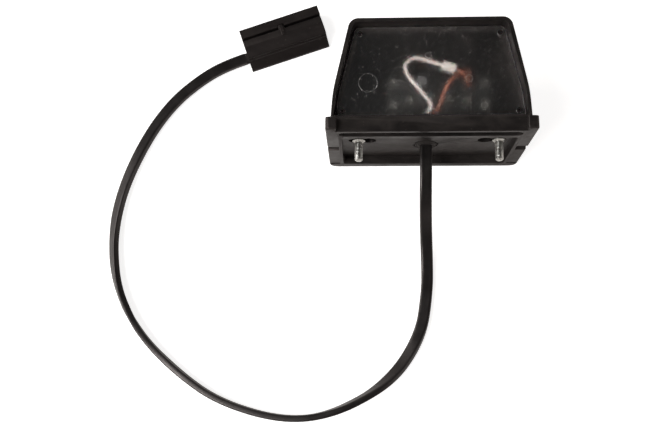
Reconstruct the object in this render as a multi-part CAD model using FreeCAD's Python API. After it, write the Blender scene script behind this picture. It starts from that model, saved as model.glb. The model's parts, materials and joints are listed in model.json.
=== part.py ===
# Number plate lamp for a trailer: tray-mounted housing, smoked lens, two captive
# studs, and a flat two-core lead that ends in a clip-on cable connector.
# Millimetres. +Z up, the lamp lies on its back with the lens up. The mounting rim
# faces -Y, and the lamp body runs along +Y.
import FreeCAD, Part
import math
import os

V = FreeCAD.Vector
os.makedirs("parts", exist_ok=True)

# Mounting tray
TRAY_WIDTH = 121.0
TRAY_TOP = 73.5            # top of the front bar, and of the web behind it
EAR_TOP = 78.5             # the two ears stand above the web
EAR_WIDTH = 6.3
RIM_Y = -29.0              # plane of the mounting rim
TRAY_THICK = 7.6
RECESS_DEPTH = 5.1
RECESS_HALF_WIDTH = 51.5
RECESS_LOW = 7.2
RECESS_HIGH = 61.0
FLOOR_Y = RIM_Y + RECESS_DEPTH      # front face of the recess floor
WALL_Y = RIM_Y + TRAY_THICK         # inner face of the recess floor
LIP_WIDTH = 2.0
NOTCH_R = 3.8
NOTCH_Z = 39.3
GROOVE_R = 3.3             # long groove along the front bar
GROOVE_Z = 67.8
GROOVE_HALF = 53.0
GROOVE_DEPTH = 4.0

# Lamp body, half widths measured from the centre plane
BODY_LENGTH = 66.0
FAR_Y = RIM_Y + BODY_LENGTH
BODY_HALF_NEAR = 57.9
BODY_HALF_KINK = 56.3
KINK_Y = RIM_Y + 24.0
BODY_HALF_FAR = 46.2
FAR_CORNER_R = 6.0
RIM_START_Y = RIM_Y + 9.8           # the rim climbs from here
RIM_TILT = math.radians(9.0)
RIM_WALL = 1.9
BODY_WALL = 2.4
BACK_CURVE_Y = RIM_Y + 55.0         # corner of the back, before its rounding
BACK_CURVE_R = 20.0
BACK_KNEE_Z = 34.0

# Lens
LENS_DROP = 5.0
LENS_THICK = 2.8
LENS_GAP = 1.2
SEAL_THICK = 0.8
LEDGE_WIDTH = 3.5
LEDGE_THICK = 2.0
PIN_R = 1.4
PIN_HOLE_R = 0.6

# Studs, captive in keyhole slots
STUD_R = 2.5
NECK_R = 2.2               # plain neck between the head and the thread
STUD_PITCH = 85.0
STUD_SHIFT = 1.0           # both studs stand this far to the right, as found
STUD_Z = 40.5
STUD_OUT = 8.0             # beyond the mounting rim
HEAD_FLATS = 7.4
HEAD_THICK = 2.6
SLOT_HALF = 2.8
SLOT_OUTER = 45.0          # outermost place of a stud's axis
SLOT_INNER = 39.6
ENTRY_X = 35.2
ENTRY_R = 4.35
POCKET_DEPTH = 3.4
POCKET_WALL = 1.6
WASHER_R = 4.0
WASHER_THICK = 1.0
WASHER_GAP = 0.15

# Cable outlet and the flat cable
OUTLET_Z = 31.8
GROMMET_FLANGE_R = 7.6
GROMMET_NECK_R = 6.2
CABLE_WIDTH = 7.4
CABLE_THICK = 4.2
TUBE_R = 3.0               # round tube with the flat cable's cross-section area
CABLE_START_Y = FLOOR_Y - 0.8
CABLE_ROUTE = [
    (0.0, CABLE_START_Y, OUTLET_Z),
    (0.0, -36.0, OUTLET_Z),
    (-0.2, -55.0, 26.5),
    (0.7, -74.0, 11.0),
    (1.7, -94.0, 3.6),
    (1.4, -112.0, 3.2),
    (-3.2, -140.4, 3.4),
    (-23.0, -169.1, 3.6),
    (-58.6, -188.4, 3.8),
    (-89.0, -191.6, 3.9),
    (-127.0, -181.3, 3.8),
    (-152.4, -165.2, 3.9),
    (-179.7, -140.5, 3.8),
    (-196.4, -111.4, 3.8),
    (-202.4, -78.6, 3.6),
    (-197.6, -46.5, 3.5),
    (-183.8, -11.7, 3.6),
    (-167.0, 14.1, 3.8),
    (-148.0, 30.9, 4.2),
    (-130.9, 41.07, 4.55),
    (-117.62, 45.63, 4.55),
]

# Inside the lamp
BOARD_Z = 48.4
BOARD_THICK = 1.6
BOARD_X = (-24.0, 38.0)
BOARD_Y = (-8.5, 12.5)
BOARD_HOLES = [(x, y) for x in (-20.5, 34.5) for y in (-5.0, 9.0)]
POST_R = 2.8
SCREW_R = 1.3
LED_PITCH = 11.6
LED_X0 = -10.2
LED_Y = -2.0
TAIL_Y = RIM_Y + 16.0       # the lead runs up behind the wall at this y
TAIL_TOP = 54.0
CLAMP_Z = (40.0, 48.0)
CLAMP_BOSS_X = 10.5
CLAMP_BOSS_Y = RIM_Y + 13.6
VENT = V(25.0, FAR_Y, 55.0)
VENT_R = 3.0
VENT_CAP_R = 4.4
CORNER_PINS = ((50.9, RIM_Y + 14.0), (40.6, RIM_Y + 58.9))
LENS_PIN_SPOTS = [(side * x, y) for side in (-1, 1) for x, y in CORNER_PINS]
CLAMP_BACK_Y = TAIL_Y + CABLE_THICK / 2 + 2.2
SCREW_HEAD_R = 2.6
SCREW_HEAD_THICK = 1.8
SCREW_SLOT = 0.7
TERMINAL_X = (21.0, 27.6)
TERMINAL_Y = (4.4, 11.8)

# Wires inside, and the white sleeve over their splice
WIRE_R = 0.9
SPLICE_END = V(8.0, 14.2, 65.8)
SPLICE_TURN = -20.0
SPLICE_SIZE = (8.5, 4.8, 4.6)
WHITE_ROUTE = [
    (-1.9, TAIL_Y, TAIL_TOP),
    (-1.6, TAIL_Y, 57.6),
    (2.8, -9.6, 61.8),
    (-5.2, -0.4, 63.6),
    (-12.6, 8.0, 64.8),
    (-14.6, 15.0, 65.6),
    (-8.6, 19.6, 66.0),
    (0.2, 17.04, 65.8),
    (8.0, 14.2, 65.8),
]
RED_ROUTE = [
    (1.9, TAIL_Y, TAIL_TOP),
    (2.6, TAIL_Y, 57.0),
    (6.4, -9.0, 60.4),
    (9.4, 0.8, 62.2),
    (14.6, 8.2, 62.0),
    (20.4, 12.6, 60.6),
    (24.6, 13.6, 58.0),
    (24.4, 9.6, 57.0),
    (24.4, 9.6, 54.2),
]
LEAD_ROUTE = [
    (15.99, 11.29, 65.8),
    (18.6, 10.34, 65.8),
    (21.6, 9.0, 62.6),
    (24.4, 6.2, 58.6),
    (24.4, 6.2, 54.2),
]

# Clip-on connector: its own frame has its origin at the far left bottom corner,
# +X along its length and +Y towards its far side
CLIP_LENGTH = 54.8
CLIP_WIDTH = 25.0
CLIP_HEIGHT = 15.5
CLIP_ANGLE = 19.0
CLIP_CORNER = V(-113.3, 37.7, 0)    # near left bottom corner in the row frame
NEAR_SLOPE_LOW = 3.0       # the near face leans back from this height
NEAR_SLOPE_TOP = (4.3, 8.0)
HINGE_WALL_TOP = 9.0
LATCH_STRIP_WIDTH = 6.5
PARTING_GAP = 1.5
CHANNEL_LOW = 2.4
CHANNEL_Y = 8.9            # middle of the lead's channel, from the near side
TROUGH_Y = 11.6            # middle of the channel for the trailer's own cable
TROUGH_LOW = 7.5
TROUGH_HALF = 4.0
LEDGE_Z = 11.6             # the lid closes down on this level
LEAD_END_X = -1.5          # where the free lead meets its end in the connector
BLADE_THICK = 0.8
BLADES = ((19.0, 8.4, 12.6), (33.0, 7.8, 12.0))
HINGE_Y = 5.6
HINGE_Z = 10.4
KNUCKLE_R = 1.7
HINGE_PIN_R = 0.8
LID_GAP = 0.35
LID_FAR = CLIP_WIDTH - LATCH_STRIP_WIDTH - PARTING_GAP
LID_NEAR = HINGE_Y - 1.0
LID_KNUCKLES = ((3.0, 15.0), (39.5, 51.5))
BODY_KNUCKLES = ((0.2, 2.6), (15.4, 39.1), (51.9, 54.6))
LATCH_X = (25.4, 29.4)


def box(x0, x1, y0, y1, z0, z1):
    return Part.makeBox(x1 - x0, y1 - y0, z1 - z0, V(x0, y0, z0))


def cylinder(radius, start, end):
    axis = end - start
    return Part.makeCylinder(radius, axis.Length, start, axis)


def rounded_wire(points, radii, closed=True):
    """Straight runs through the points, with a tangent arc at each that has a radius."""
    count = len(points)
    corners = []
    for i in range(count):
        here = points[i]
        radius = radii[i]
        if radius == 0 or (not closed and i in (0, count - 1)):
            corners.append((here, None, here))
            continue
        back = (points[i - 1] - here).normalize()
        ahead = (points[(i + 1) % count] - here).normalize()
        half = back.getAngle(ahead) / 2
        reach = radius / math.tan(half)
        middle = (back + ahead).normalize()
        arc_mid = here + middle * (radius / math.sin(half) - radius)
        corners.append((here + back * reach, arc_mid, here + ahead * reach))
    edges = []
    for i, (arc_in, arc_mid, arc_out) in enumerate(corners):
        if arc_mid is not None:
            edges.append(Part.Arc(arc_in, arc_mid, arc_out).toShape())
        if i < count - 1 or closed:
            edges.append(Part.LineSegment(arc_out, corners[(i + 1) % count][0]).toShape())
    return Part.Wire(edges)


def prism(points, radii, along):
    return Part.Face(rounded_wire(points, radii)).extrude(along)


def rim_z(y, drop=0.0):
    """Height of the body's rim, or of a plane below it, at a given y."""
    return TRAY_TOP + max(0.0, y - RIM_START_Y) * math.tan(RIM_TILT) - drop


def body_plan(inset, near_y, z0, z1):
    """The body's plan outline, drawn in by an inset, as an upright prism."""
    far = FAR_Y - inset
    side = [(BODY_HALF_NEAR - inset, near_y, 0.0),
            (BODY_HALF_KINK - inset, KINK_Y, 80.0),
            (BODY_HALF_FAR - inset, far, max(1.0, FAR_CORNER_R - inset))]
    outline = side + [(-x, y, r) for x, y, r in reversed(side)]
    points = [V(x, y, z0) for x, y, r in outline]
    return prism(points, [r for x, y, r in outline], V(0, 0, z1 - z0))


def back_profile(inset, near_y):
    """Side view of the body below its rim, drawn in by an inset, as a wide prism."""
    width = TRAY_WIDTH + 20
    corners = [(near_y, inset, 0.0),
               (BACK_CURVE_Y - inset / 2, inset, BACK_CURVE_R - inset),
               (FAR_Y - inset, BACK_KNEE_Z, BACK_CURVE_R),
               (FAR_Y - inset, rim_z(FAR_Y - inset), 0.0),
               (RIM_START_Y, rim_z(RIM_START_Y), 0.0),
               (near_y, TRAY_TOP, 0.0)]
    points = [V(-width / 2, y, z) for y, z, r in corners]
    return prism(points, [r for y, z, r in corners], V(width, 0, 0))


def layer(top_drop, bottom_drop, near_y):
    """A sheet of space between two planes parallel to the rim."""
    width = TRAY_WIDTH + 20
    far = FAR_Y + 5
    along = (near_y, RIM_START_Y, far)
    corners = [(y, rim_z(y, bottom_drop)) for y in along]
    corners += [(y, rim_z(y, top_drop)) for y in reversed(along)]
    points = [V(-width / 2, y, z) for y, z in corners]
    return prism(points, [0] * len(points), V(width, 0, 0))


def tray():
    half = TRAY_WIDTH / 2
    inner = half - EAR_WIDTH
    right = [(half, 0, 5.5), (half, EAR_TOP, 2.5), (inner, EAR_TOP, 0.8), (inner, TRAY_TOP, 0)]
    outline = right + [(-x, z, r) for x, z, r in reversed(right)]
    block = prism([V(x, RIM_Y, z) for x, z, r in outline], [r for x, z, r in outline],
                  V(0, TRAY_THICK, 0))
    front = [e for e in block.Edges if all(abs(v.Point.y - RIM_Y) < 1e-6 for v in e.Vertexes)]
    outer = []
    for edge in front:
        at_side = abs(edge.CenterOfMass.x) > half - 3
        at_bottom = edge.CenterOfMass.z < 3
        if edge.BoundBox.ZMin < EAR_TOP - 3 and (at_side or at_bottom):
            outer.append(edge)
    return block.makeFillet(1.2, outer)


def recess_cuts():
    half = RECESS_HALF_WIDTH
    outline = [(half, RECESS_LOW), (half, RECESS_HIGH), (-half, RECESS_HIGH), (-half, RECESS_LOW)]
    cuts = [prism([V(x, RIM_Y - 1, z) for x, z in outline], [1.5] * 4, V(0, RECESS_DEPTH + 1, 0))]
    groove = box(-GROOVE_HALF + GROOVE_R, GROOVE_HALF - GROOVE_R, RIM_Y - 1, RIM_Y + GROOVE_DEPTH,
                 GROOVE_Z - GROOVE_R, GROOVE_Z + GROOVE_R)
    cuts.append(groove)
    for side in (-1, 1):
        end = side * (GROOVE_HALF - GROOVE_R)
        cuts.append(cylinder(GROOVE_R, V(end, RIM_Y - 1, GROOVE_Z),
                             V(end, RIM_Y + GROOVE_DEPTH, GROOVE_Z)))
        lip = half + LIP_WIDTH
        cuts.append(cylinder(NOTCH_R, V(side * lip, RIM_Y, NOTCH_Z),
                             V(side * TRAY_WIDTH, RIM_Y, NOTCH_Z)))
        low, high = sorted((side * lip, side * TRAY_WIDTH))
        cuts.append(box(low, high, RIM_Y - 1, RIM_Y + 0.4, RECESS_LOW, RECESS_HIGH + 3))
    cuts.append(cylinder(GROMMET_FLANGE_R + 0.15, V(0, RIM_Y, OUTLET_Z),
                         V(0, FLOOR_Y + 1.0, OUTLET_Z)))
    cuts.append(cylinder(GROMMET_NECK_R, V(0, RIM_Y, OUTLET_Z), V(0, WALL_Y + 1, OUTLET_Z)))
    return cuts


def keyway_bosses():
    """Closed pockets behind the floor, where the stud heads slide."""
    bosses = []
    for side in (-1, 1):
        inner = ENTRY_X - ENTRY_R - POCKET_WALL
        outer = SLOT_OUTER + 4.6 + POCKET_WALL
        low, high = sorted((side * inner, side * outer))
        reach = ENTRY_R + POCKET_WALL
        bosses.append(box(low, high, WALL_Y - 0.5, WALL_Y + POCKET_DEPTH + POCKET_WALL,
                          STUD_Z - reach, STUD_Z + reach))
    return bosses


def keyway_cuts():
    cuts = []
    pocket_back = WALL_Y + POCKET_DEPTH
    guide = HEAD_FLATS / 2 + 0.15
    for side in (-1, 1):
        entry = side * ENTRY_X
        cuts.append(cylinder(ENTRY_R, V(entry, RIM_Y, STUD_Z), V(entry, pocket_back, STUD_Z)))
        outer = side * SLOT_OUTER
        low, high = sorted((entry, outer))
        cuts.append(box(low, high, RIM_Y, WALL_Y + 0.1, STUD_Z - SLOT_HALF, STUD_Z + SLOT_HALF))
        cuts.append(cylinder(SLOT_HALF, V(outer, RIM_Y, STUD_Z), V(outer, WALL_Y + 0.1, STUD_Z)))
        low, high = sorted((entry, outer + side * 4.5))
        cuts.append(box(low, high, WALL_Y, pocket_back, STUD_Z - guide, STUD_Z + guide))
    return cuts


def inner_posts():
    posts = [cylinder(POST_R, V(x, y, 1.5), V(x, y, BOARD_Z)) for x, y in BOARD_HOLES]
    for side in (-1, 1):
        x = side * CLAMP_BOSS_X
        z = sum(CLAMP_Z) / 2
        posts.append(cylinder(3.0, V(x, WALL_Y - 0.5, z), V(x, CLAMP_BOSS_Y, z)))
    posts.append(cylinder(VENT_CAP_R + 1.8, VENT - V(0, 5.0, 0), VENT - V(0, 0.5, 0)))
    return posts


def screw_holes():
    holes = [cylinder(SCREW_R, V(x, y, BOARD_Z - 8), V(x, y, BOARD_Z + 1)) for x, y in BOARD_HOLES]
    z = sum(CLAMP_Z) / 2
    for side in (-1, 1):
        x = side * CLAMP_BOSS_X
        holes.append(cylinder(SCREW_R, V(x, CLAMP_BOSS_Y - 4.5, z), V(x, CLAMP_BOSS_Y + 1, z)))
    holes.append(cylinder(VENT_R, VENT - V(0, 8, 0), VENT + V(0, 2, 0)))
    holes.append(cylinder(VENT_CAP_R + 0.15, VENT - V(0, 1.2, 0), VENT + V(0, 1, 0)))
    drop = LENS_DROP + LENS_THICK + SEAL_THICK
    for x, y in LENS_PIN_SPOTS:
        top = rim_z(y, drop)
        holes.append(cylinder(PIN_R, V(x, y, top - 1.2), V(x, y, top + 3)))
    return holes


def housing():
    shell = body_plan(0, RIM_Y + 5.2, 0, 100).common(back_profile(0, RIM_Y + 5.2))
    ledge_drop = LENS_DROP + LENS_THICK + SEAL_THICK
    mouth = body_plan(RIM_WALL, RIM_START_Y, 0, 100).common(layer(-20, ledge_drop, RIM_START_Y - 5))
    throat = body_plan(RIM_WALL + LEDGE_WIDTH, RIM_START_Y + LEDGE_WIDTH, 0, 100)
    throat = throat.common(layer(0, ledge_drop + LEDGE_THICK + 1, RIM_START_Y - 5))
    bowl = body_plan(BODY_WALL, WALL_Y, 0, 100).common(back_profile(BODY_WALL, WALL_Y))
    bowl = bowl.cut(layer(-20, ledge_drop + LEDGE_THICK, WALL_Y - 5))
    shell = tray().fuse(shell).cut(mouth.fuse(throat).fuse(bowl))
    posts = [post.common(back_profile(0.5, WALL_Y - 1)) for post in inner_posts()]
    shell = shell.fuse(keyway_bosses() + posts)
    shell = shell.cut(recess_cuts() + keyway_cuts() + screw_holes())
    return shell.removeSplitter()


def lens():
    inset = RIM_WALL + LENS_GAP
    plate = body_plan(inset, RIM_START_Y + LENS_GAP, 0, 100)
    plate = plate.common(layer(LENS_DROP, LENS_DROP + LENS_THICK, RIM_START_Y - 1))
    top = [e for e in plate.Edges
           if all(abs(v.Point.z - rim_z(v.Point.y, LENS_DROP)) < 1e-4 for v in e.Vertexes)]
    plate = plate.makeFillet(0.7, top)
    holes = [cylinder(PIN_R, V(x, y, 0), V(x, y, 100)) for x, y in LENS_PIN_SPOTS]
    return plate.cut(holes)


def lens_seal():
    drop = LENS_DROP + LENS_THICK
    outer = RIM_WALL + LENS_GAP + 0.2
    inner = RIM_WALL + LEDGE_WIDTH - 0.2
    ring = body_plan(outer, RIM_START_Y + LENS_GAP + 0.2, 0, 100)
    ring = ring.cut(body_plan(inner, RIM_START_Y + LEDGE_WIDTH - 0.2, 0, 100))
    ring = ring.common(layer(drop, drop + SEAL_THICK, RIM_START_Y - 1))
    holes = [cylinder(PIN_R, V(x, y, 0), V(x, y, 100)) for x, y in LENS_PIN_SPOTS]
    return ring.cut(holes)


def lens_pins():
    """Hollow pins that pin the lens down at its corners."""
    pins = []
    for x, y in LENS_PIN_SPOTS:
        top = rim_z(y, LENS_DROP) + 0.4
        bottom = rim_z(y, LENS_DROP + LENS_THICK + SEAL_THICK) - 1.2
        pin = cylinder(PIN_R, V(x, y, bottom), V(x, y, top))
        pins.append(pin.cut(cylinder(PIN_HOLE_R, V(x, y, top - 1.5), V(x, y, top + 1))))
    return Part.makeCompound(pins)


def stud(x):
    """Hex-headed bolt, head held behind the recess floor."""
    head_y = WALL_Y + 0.2
    corner = HEAD_FLATS / math.sqrt(3)
    angles = [math.radians(60 * i) for i in range(6)]
    points = [V(x + corner * math.cos(a), head_y, STUD_Z + corner * math.sin(a)) for a in angles]
    head = prism(points, [0] * 6, V(0, HEAD_THICK, 0))
    neck_end = FLOOR_Y - WASHER_GAP - WASHER_THICK - 0.2
    neck = cylinder(NECK_R, V(x, head_y + 0.5, STUD_Z), V(x, neck_end, STUD_Z))
    shank = cylinder(STUD_R, V(x, neck_end, STUD_Z), V(x, RIM_Y - STUD_OUT, STUD_Z))
    tip = [e for e in shank.Edges if e.BoundBox.YMax < RIM_Y - STUD_OUT + 0.1]
    return head.fuse([neck, shank.makeChamfer(0.7, tip)])


def retaining_washer(x):
    front = V(x, FLOOR_Y - WASHER_GAP - WASHER_THICK, STUD_Z)
    ring = cylinder(WASHER_R, front, front + V(0, WASHER_THICK, 0))
    return ring.cut(cylinder(NECK_R, front - V(0, 1, 0), front + V(0, 3, 0)))


def flat_section(centre, across, up, width, thick):
    """A flat cable's rounded section as a wire, across and up being unit vectors."""
    corners = [(-1, -1), (1, -1), (1, 1), (-1, 1)]
    points = [centre + across * (a * width / 2) + up * (b * thick / 2) for a, b in corners]
    return rounded_wire(points, [thick * 0.42] * 4)


def cable_tail():
    """The lead's inner end, through the grommet and up behind the wall."""
    start = V(0, CABLE_START_Y, OUTLET_Z)
    turn = V(0, TAIL_Y, OUTLET_Z)
    end = V(0, TAIL_Y, TAIL_TOP)
    path = rounded_wire([start, turn, end], [0, 6.5, 0], closed=False)
    section = flat_section(start, V(1, 0, 0), V(0, 0, 1), CABLE_WIDTH, CABLE_THICK)
    return path.makePipeShell([section], True, False)


def cable_grommet():
    front = V(0, FLOOR_Y - 0.3, OUTLET_Z)
    flange = cylinder(GROMMET_FLANGE_R, front, V(0, FLOOR_Y + 1.0, OUTLET_Z))
    neck = cylinder(GROMMET_NECK_R, V(0, FLOOR_Y, OUTLET_Z), V(0, WALL_Y + 1.0, OUTLET_Z))
    bead = Part.makeCone(GROMMET_NECK_R + 1.0, GROMMET_NECK_R - 0.8, 1.6,
                         V(0, WALL_Y, OUTLET_Z), V(0, 1, 0))
    collar = Part.makeCone(5.4, 4.9, 0.5, front, V(0, -1, 0))
    slot = Part.Face(flat_section(V(0, RIM_Y, OUTLET_Z), V(1, 0, 0), V(0, 0, 1),
                                  CABLE_WIDTH, CABLE_THICK))
    return flange.fuse([neck, bead, collar]).cut(slot.extrude(V(0, 20, 0)))


def arc_radii(points):
    """Each bend's radius: 0.45 of its shorter run over the tangent of half its turn."""
    radii = [0.0]
    for i in range(1, len(points) - 1):
        before = points[i] - points[i - 1]
        after = points[i + 1] - points[i]
        turn = before.getAngle(after)
        radii.append(0.45 * min(before.Length, after.Length) / math.tan(turn / 2))
    return radii + [0.0]


def tube(points, radius):
    """A round tube along straight runs joined by tangent arcs."""
    radii = arc_radii(points)
    path = rounded_wire(points, radii, closed=False)
    direction = (points[1] - points[0]).normalize()
    section = Part.Wire(Part.Circle(points[0], direction, radius).toShape())
    solid = path.makePipeShell([section], True, False)
    return solid, path, radii


def flat_cable():
    solid, path, radii = tube([V(*p) for p in CABLE_ROUTE], TUBE_R)
    expected = math.pi * TUBE_R ** 2 * path.Length
    print("flat cable length %.1f" % path.Length)
    print("volume %.0f, section x length %.0f" % (solid.Volume, expected))
    print("bend radii", [round(r, 1) for r in radii[1:-1]])
    return solid


def splice_sleeve():
    length, width, height = SPLICE_SIZE
    body = box(0, length, -width / 2, width / 2, -height / 2, height / 2)
    body = body.makeFillet(0.9, body.Edges)
    body.rotate(V(0, 0, 0), V(0, 0, 1), SPLICE_TURN)
    body.translate(SPLICE_END)
    return body


def circuit_board():
    board = box(BOARD_X[0], BOARD_X[1], BOARD_Y[0], BOARD_Y[1], BOARD_Z, BOARD_Z + BOARD_THICK)
    holes = [cylinder(SCREW_R + 0.3, V(x, y, BOARD_Z - 1), V(x, y, BOARD_Z + 3))
             for x, y in BOARD_HOLES]
    return board.cut(holes)


def leds():
    top = BOARD_Z + BOARD_THICK
    packages = []
    for i in range(4):
        x = LED_X0 + i * LED_PITCH
        package = box(x - 1.75, x + 1.75, LED_Y - 1.4, LED_Y + 1.4, top, top + 1.0)
        dome = Part.makeSphere(1.6, V(x, LED_Y, top + 0.4))
        packages.append(package.fuse(dome.common(box(x - 2, x + 2, LED_Y - 2, LED_Y + 2, top, top + 3))))
    return Part.makeCompound(packages)


def resistors():
    top = BOARD_Z + BOARD_THICK
    chips = []
    for i in range(4):
        x = LED_X0 + i * LED_PITCH
        chips.append(box(x - 1.6, x + 1.6, LED_Y + 4.2, LED_Y + 5.8, top, top + 0.6))
    return Part.makeCompound(chips)


def protection_diode():
    top = BOARD_Z + BOARD_THICK
    return box(-17.0, -12.4, 5.0, 8.6, top, top + 2.3)


def smoothing_capacitor():
    top = BOARD_Z + BOARD_THICK
    can = cylinder(3.1, V(-4.0, 8.0, top), V(-4.0, 8.0, top + 7.0))
    return can.makeFillet(0.6, can.Edges[:1])


def terminal_block():
    top = BOARD_Z + BOARD_THICK
    return box(TERMINAL_X[0], TERMINAL_X[1], TERMINAL_Y[0], TERMINAL_Y[1], top, RED_ROUTE[-1][2])


def screws(spots, length, direction):
    """Slotted screws: each spot is the point under the head's middle."""
    group = []
    for spot in spots:
        head = cylinder(SCREW_HEAD_R, spot, spot + direction * SCREW_HEAD_THICK)
        shank = cylinder(SCREW_R, spot, spot - direction * length)
        slot = Part.makeBox(SCREW_HEAD_R * 3, SCREW_SLOT, SCREW_SLOT + 0.1)
        slot.translate(V(-SCREW_HEAD_R * 1.5, -SCREW_SLOT / 2, SCREW_HEAD_THICK - SCREW_SLOT))
        turn = FreeCAD.Rotation(V(0, 0, 1), direction)
        slot.Placement = FreeCAD.Placement(spot, turn).multiply(slot.Placement)
        group.append(head.fuse(shank).cut(slot))
    return Part.makeCompound(group)


def cable_clamp():
    half = CLAMP_BOSS_X + 3.4
    z0, z1 = CLAMP_Z
    z = (z0 + z1) / 2
    bar = box(-half, half, CLAMP_BOSS_Y, CLAMP_BACK_Y, z0, z1)
    bar = bar.cut(box(-CABLE_WIDTH / 2, CABLE_WIDTH / 2, CLAMP_BOSS_Y - 1, TAIL_Y + CABLE_THICK / 2,
                      z0 - 1, z1 + 1))
    for x in (-CLAMP_BOSS_X, CLAMP_BOSS_X):
        bar = bar.cut(cylinder(SCREW_R + 0.3, V(x, CLAMP_BOSS_Y - 1, z), V(x, CLAMP_BACK_Y + 1, z)))
    return bar


def vent_plug():
    cap = cylinder(VENT_CAP_R, VENT - V(0, 1.2, 0), VENT - V(0, 0.2, 0))
    stem = cylinder(VENT_R, VENT - V(0, 5.4, 0), VENT - V(0, 1.0, 0))
    return cap.fuse(stem).cut(cylinder(0.8, VENT - V(0, 6, 0), VENT - V(0, 0.8, 0)))


# Connector, drawn in its own frame: x along its length, y from its near side to its
# far side, z up from the table
def place_clip(shape):
    shape.rotate(V(0, 0, 0), V(0, 0, 1), CLIP_ANGLE)
    shape.translate(CLIP_CORNER)
    return shape


def clip_prism(points, radii, x0, x1):
    return prism([V(x0, y, z) for y, z in points], radii, V(x1 - x0, 0, 0))


def connector_body():
    far_strip = CLIP_WIDTH - LATCH_STRIP_WIDTH
    wall_y = TROUGH_Y - TROUGH_HALF
    outline = [(0, 0, 0.8), (CLIP_WIDTH, 0, 0.8), (CLIP_WIDTH, CLIP_HEIGHT, 0.8),
               (far_strip, CLIP_HEIGHT, 0.4), (far_strip, LEDGE_Z, 0), (wall_y + 1, LEDGE_Z, 0),
               (wall_y + 1, HINGE_WALL_TOP, 0), (LID_NEAR, HINGE_WALL_TOP, 0),
               (NEAR_SLOPE_TOP[0], NEAR_SLOPE_TOP[1], 0.3), (0, NEAR_SLOPE_LOW, 0.8)]
    body = clip_prism([(y, z) for y, z, r in outline], [r for y, z, r in outline], 0, CLIP_LENGTH)
    half = CABLE_WIDTH / 2 + 0.1
    channel = box(-1, CLIP_LENGTH - 6, CHANNEL_Y - half, CHANNEL_Y + half,
                  CHANNEL_LOW, CHANNEL_LOW + CABLE_THICK + 0.1)
    trough = box(-1, CLIP_LENGTH + 1, wall_y, TROUGH_Y + TROUGH_HALF, TROUGH_LOW, 20)
    body = body.cut([channel, trough])
    for x0, x1 in LID_KNUCKLES:
        body = body.cut(cylinder(KNUCKLE_R + LID_GAP, V(x0 - LID_GAP, HINGE_Y, HINGE_Z),
                                 V(x1 + LID_GAP, HINGE_Y, HINGE_Z)))
    for x0, x1 in BODY_KNUCKLES:
        barrel = cylinder(KNUCKLE_R, V(x0, HINGE_Y, HINGE_Z), V(x1, HINGE_Y, HINGE_Z))
        foot = box(x0, x1, LID_NEAR, HINGE_Y + KNUCKLE_R, HINGE_WALL_TOP - 1, HINGE_Z)
        body = body.fuse([barrel, foot])
    body = body.cut(cylinder(HINGE_PIN_R, V(-1, HINGE_Y, HINGE_Z), V(CLIP_LENGTH + 1, HINGE_Y, HINGE_Z)))
    notch = box(LATCH_X[0] - 0.4, LATCH_X[1] + 0.4, far_strip - 1, far_strip + 1.6, 10, 20)
    body = body.cut(notch)
    for x, y0, y1 in BLADES:
        body = body.cut(box(x, x + BLADE_THICK, y0, y1, CHANNEL_LOW + 1, TROUGH_LOW + 1))
    return body.removeSplitter()


def contact_blade(x, y0, y1):
    """A double-ended piercing blade, teeth down into the lead and up into the trough."""
    middle = (y0 + y1) / 2
    low, high = CHANNEL_LOW + 1.2, TROUGH_LOW + 2.2
    outline = [(y0 + 0.2, low), (middle, low + 1.4), (y1 - 0.2, low), (y1, low + 1.2),
               (y1, high - 1.2), (y1 - 0.2, high), (middle, high - 1.4), (y0 + 0.2, high),
               (y0, high - 1.2), (y0, low + 1.2)]
    return clip_prism(outline, [0] * len(outline), x, x + BLADE_THICK)


def cable_end():
    """The lead's far end, lying in its channel under the blades."""
    corner = V(LEAD_END_X, CHANNEL_Y, CHANNEL_LOW + 0.05 + CABLE_THICK / 2)
    section = flat_section(corner, V(0, 1, 0), V(0, 0, 1), CABLE_WIDTH, CABLE_THICK)
    strip = Part.Face(section).extrude(V(CLIP_LENGTH - 6.5 - LEAD_END_X, 0, 0))
    slits = [box(x, x + BLADE_THICK, y0, y1, CHANNEL_LOW + 1, 20) for x, y0, y1 in BLADES]
    return strip.cut(slits)


def connector_lid():
    under = LEDGE_Z + LID_GAP
    over_hinge = HINGE_Z + KNUCKLE_R + LID_GAP
    outline = [(LID_NEAR, over_hinge, 0.2), (LID_NEAR, 13.6, 1.0), (HINGE_Y + 3.0, 15.0, 6.0),
               (TROUGH_Y, 15.4, 14.0), (LID_FAR, 14.8, 0.5), (LID_FAR, under, 0),
               (HINGE_Y + 2.4, under, 0), (HINGE_Y + 1.6, over_hinge, 0)]
    plate = clip_prism([(y, z) for y, z, r in outline], [r for y, z, r in outline],
                       0.2, CLIP_LENGTH - 0.2)
    for x0, x1 in LID_KNUCKLES:
        knuckle = cylinder(KNUCKLE_R, V(x0, HINGE_Y, HINGE_Z), V(x1, HINGE_Y, HINGE_Z))
        plate = plate.fuse([knuckle, box(x0, x1, LID_NEAR, HINGE_Y + 1.4, HINGE_Z, 13)])
    tongue_end = LID_FAR + PARTING_GAP + 1.2
    latch = box(LATCH_X[0], LATCH_X[1], LID_FAR - 3, tongue_end, 13.0, 15.0)
    rib = box(LATCH_X[0] + 0.8, LATCH_X[1] - 0.8, LID_FAR - 5, tongue_end, 14.0, 15.9)
    rib = rib.makeFillet(0.6, [e for e in rib.Edges if e.BoundBox.ZMin > 15])
    plate = plate.fuse([latch, rib])
    bore = cylinder(HINGE_PIN_R + 0.08, V(-1, HINGE_Y, HINGE_Z), V(CLIP_LENGTH + 1, HINGE_Y, HINGE_Z))
    return plate.cut(bore).removeSplitter()


def lid_hinge_pin():
    return cylinder(HINGE_PIN_R, V(0.5, HINGE_Y, HINGE_Z), V(CLIP_LENGTH - 0.5, HINGE_Y, HINGE_Z))


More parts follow.
